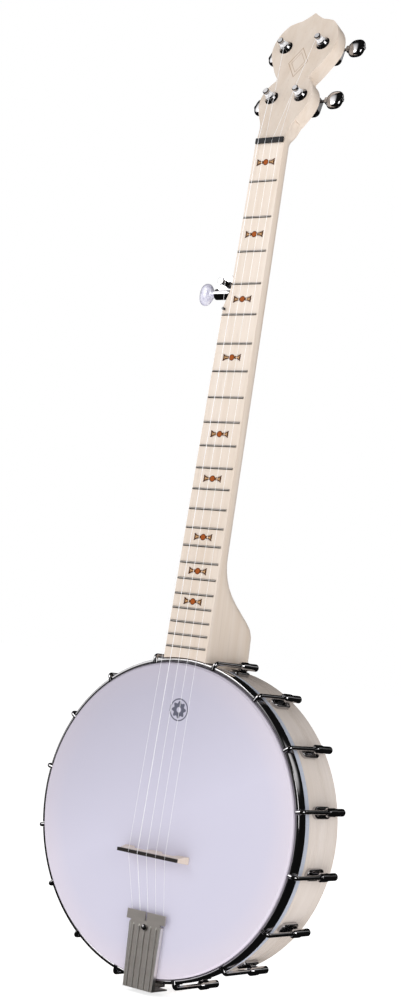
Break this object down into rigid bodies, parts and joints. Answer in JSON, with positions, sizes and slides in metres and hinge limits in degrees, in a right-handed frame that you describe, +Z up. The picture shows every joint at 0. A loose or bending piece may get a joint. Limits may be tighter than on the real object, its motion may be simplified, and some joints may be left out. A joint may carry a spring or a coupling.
{
  "type": "banjo",
  "caption": "Open-back five-string banjo with a maple neck and rim, geared tuners, a hooked tension hoop, a film head, a bridge and a tailpiece.",
  "frame": {"origin": "centre line of the fingerboard face at the nut, where a hanger's fork holds the neck", "axes": "+Z up along the instrument towards the peghead, the head faces -Y, +X is the treble side"},
  "size_m": [0.2982, 0.1123, 0.9326],
  "materials": {
    "maple": "thin satin lacquer on pale maple",
    "rim_maple": "thin satin lacquer on bent maple plies",
    "ebony": "polished black hardwood",
    "black_nut": "polished black",
    "inlay": "dark and pale marquetry, flush",
    "fret_wire": "polished nickel silver",
    "head_film": "frosted translucent film",
    "nickel": "polished nickel plate",
    "aluminium": "bright aluminium band",
    "tailpiece_nickel": "nickel plate on pressed sheet",
    "steel": "zinc-plated steel",
    "string_steel": "drawn steel wire",
    "brass": "cut brass",
    "pearloid": "pearly swirled plastic"
  },
  "bodies": {
    "frame": {"neck": "maple", "frets": "fret_wire", "nut": "black_nut", "position_markers": "inlay", "fifth_string_pip": "black_nut", "rim_outer_ply": "rim_maple", "rim_middle_ply": "rim_maple", "rim_inner_ply": "rim_maple", "drum_head": "head_film", "flesh_hoop": "aluminium", "tension_hoop": "nickel", "bracket_hooks": "nickel", "bracket_shoes": "nickel", "shoe_screws": "nickel", "bracket_nuts": "nickel", "coordinator_rod": "steel", "heel_bolt": "steel", "rod_nuts": "steel", "rod_washers": "steel", "bridge_body": "maple", "bridge_cap": "ebony", "tailpiece": "tailpiece_nickel", "tailpiece_screw": "nickel", "tailpiece_strap": "tailpiece_nickel", "tuner_casings": "nickel", "tuner_plates": "nickel", "tuner_screws": "nickel", "tuner_bushings": "nickel", "tuner_washers": "nickel", "peg5_housing": "nickel", "peg5_cover": "nickel", "string_1": "string_steel", "string_2": "string_steel", "string_3": "string_steel", "string_4": "string_steel", "string_5": "string_steel"},
    "tuner1_drive": {"tuner1_button": "nickel", "tuner1_worm": "steel", "tuner1_button_screw": "nickel"},
    "tuner1_winder": {"tuner1_post": "nickel", "tuner1_gear": "brass"},
    "tuner2_drive": {"tuner2_button": "nickel", "tuner2_worm": "steel", "tuner2_button_screw": "nickel"},
    "tuner2_winder": {"tuner2_post": "nickel", "tuner2_gear": "brass"},
    "tuner3_drive": {"tuner3_button": "nickel", "tuner3_worm": "steel", "tuner3_button_screw": "nickel"},
    "tuner3_winder": {"tuner3_post": "nickel", "tuner3_gear": "brass"},
    "tuner4_drive": {"tuner4_button": "nickel", "tuner4_worm": "steel", "tuner4_button_screw": "nickel"},
    "tuner4_winder": {"tuner4_post": "nickel", "tuner4_gear": "brass"},
    "peg5_drive": {"peg5_button": "pearloid", "peg5_worm": "steel"},
    "peg5_winder": {"peg5_post": "nickel", "peg5_gear": "brass"}
  },
  "joints": [
    {"name": "tuner1_button_turn", "type": "hinge", "parent": "frame", "child": "tuner1_drive", "pos_m": [0.0167, 0.03883, 0.051], "axis": [1, 0, 0], "continuous": true},
    {"name": "tuner1_post_turn", "type": "hinge", "parent": "frame", "child": "tuner1_winder", "pos_m": [0.0167, 0.01711, 0.05101], "axis": [0, -0.9481, 0.318], "continuous": true},
    {"name": "tuner2_button_turn", "type": "hinge", "parent": "frame", "child": "tuner2_drive", "pos_m": [0.0212, 0.05797, 0.10808], "axis": [1, 0, 0], "continuous": true},
    {"name": "tuner2_post_turn", "type": "hinge", "parent": "frame", "child": "tuner2_winder", "pos_m": [0.0212, 0.03625, 0.10808], "axis": [0, -0.9481, 0.318], "continuous": true},
    {"name": "tuner3_button_turn", "type": "hinge", "parent": "frame", "child": "tuner3_drive", "pos_m": [-0.0212, 0.05797, 0.10808], "axis": [-1, 0, 0], "continuous": true},
    {"name": "tuner3_post_turn", "type": "hinge", "parent": "frame", "child": "tuner3_winder", "pos_m": [-0.0212, 0.03625, 0.10808], "axis": [0, -0.9481, 0.318], "continuous": true},
    {"name": "tuner4_button_turn", "type": "hinge", "parent": "frame", "child": "tuner4_drive", "pos_m": [-0.0167, 0.03883, 0.051], "axis": [-1, 0, 0], "continuous": true},
    {"name": "tuner4_post_turn", "type": "hinge", "parent": "frame", "child": "tuner4_winder", "pos_m": [-0.0167, 0.01711, 0.05101], "axis": [0, -0.9481, 0.318], "continuous": true},
    {"name": "peg5_button_turn", "type": "hinge", "parent": "frame", "child": "peg5_drive", "pos_m": [-0.0264, -0.00097, -0.14517], "axis": [-1, 0, 0], "continuous": true},
    {"name": "peg5_post_turn", "type": "hinge", "parent": "frame", "child": "peg5_winder", "pos_m": [-0.0264, -0.00836, -0.13519], "axis": [0, -0.9981, 0.0617], "continuous": true}
  ],
  "couplings": [
    {"joint": "tuner1_post_turn", "follows": "tuner1_button_turn", "ratio": 0.071429},
    {"joint": "tuner2_post_turn", "follows": "tuner2_button_turn", "ratio": 0.071429},
    {"joint": "tuner3_post_turn", "follows": "tuner3_button_turn", "ratio": -0.071429},
    {"joint": "tuner4_post_turn", "follows": "tuner4_button_turn", "ratio": -0.071429},
    {"joint": "peg5_post_turn", "follows": "peg5_button_turn", "ratio": 0.071429}
  ]
}
